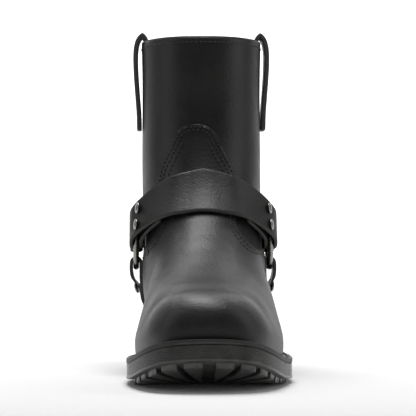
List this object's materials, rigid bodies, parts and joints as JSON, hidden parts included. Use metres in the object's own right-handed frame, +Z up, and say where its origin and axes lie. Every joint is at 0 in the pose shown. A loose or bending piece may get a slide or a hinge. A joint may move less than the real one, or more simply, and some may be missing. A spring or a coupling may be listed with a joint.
{
  "type": "ankle boot",
  "caption": "Western harness ankle boot in black leather with a blunt toe, side pull loops, riveted straps joined by metal rings, a stacked heel and a grooved sole.",
  "frame": {"origin": "middle of the boot's bounding box in plan, on the floor", "axes": "+Y from the toe to the heel, +X to the outer side of the left foot, +Z up"},
  "size_m": [0.112, 0.3024, 0.248],
  "materials": {
    "black_leather": "smooth full-grain, semi-gloss, black",
    "insole_leather": "matt, brown",
    "welt_leather": "matt, black, stitched",
    "sole_rubber": "matt, dark grey",
    "heel_stack": "layered, stained black",
    "nickel": "nickel plated, bright"
  },
  "bodies": {
    "boot": {"upper": "black_leather", "vamp": "black_leather", "heel_counter": "black_leather", "instep_strap": "black_leather", "heel_strap": "black_leather", "lower_strap_inner": "black_leather", "lower_strap_outer": "black_leather", "pull_loop_inner": "black_leather", "pull_loop_outer": "black_leather", "insole": "insole_leather", "welt": "welt_leather", "outsole": "sole_rubber", "heel_block": "heel_stack", "heel_lift": "sole_rubber", "rivet_instep_inner_1": "nickel", "rivet_instep_inner_2": "nickel", "rivet_instep_outer_1": "nickel", "rivet_instep_outer_2": "nickel", "rivet_heel_inner_1": "nickel", "rivet_heel_inner_2": "nickel", "rivet_heel_outer_1": "nickel", "rivet_heel_outer_2": "nickel", "rivet_lower_inner_1": "nickel", "rivet_lower_inner_2": "nickel", "rivet_lower_outer_1": "nickel", "rivet_lower_outer_2": "nickel"},
    "inner_ring": {"ring_inner": "nickel"},
    "outer_ring": {"ring_outer": "nickel"}
  },
  "joints": [
    {"name": "ring_inner_spin", "type": "hinge", "parent": "boot", "child": "inner_ring", "pos_m": [-0.05061, 0.04281, 0.095], "axis": [1, 0, 0], "continuous": true},
    {"name": "ring_outer_spin", "type": "hinge", "parent": "boot", "child": "outer_ring", "pos_m": [0.04563, 0.04281, 0.095], "axis": [1, 0, 0], "continuous": true}
  ]
}
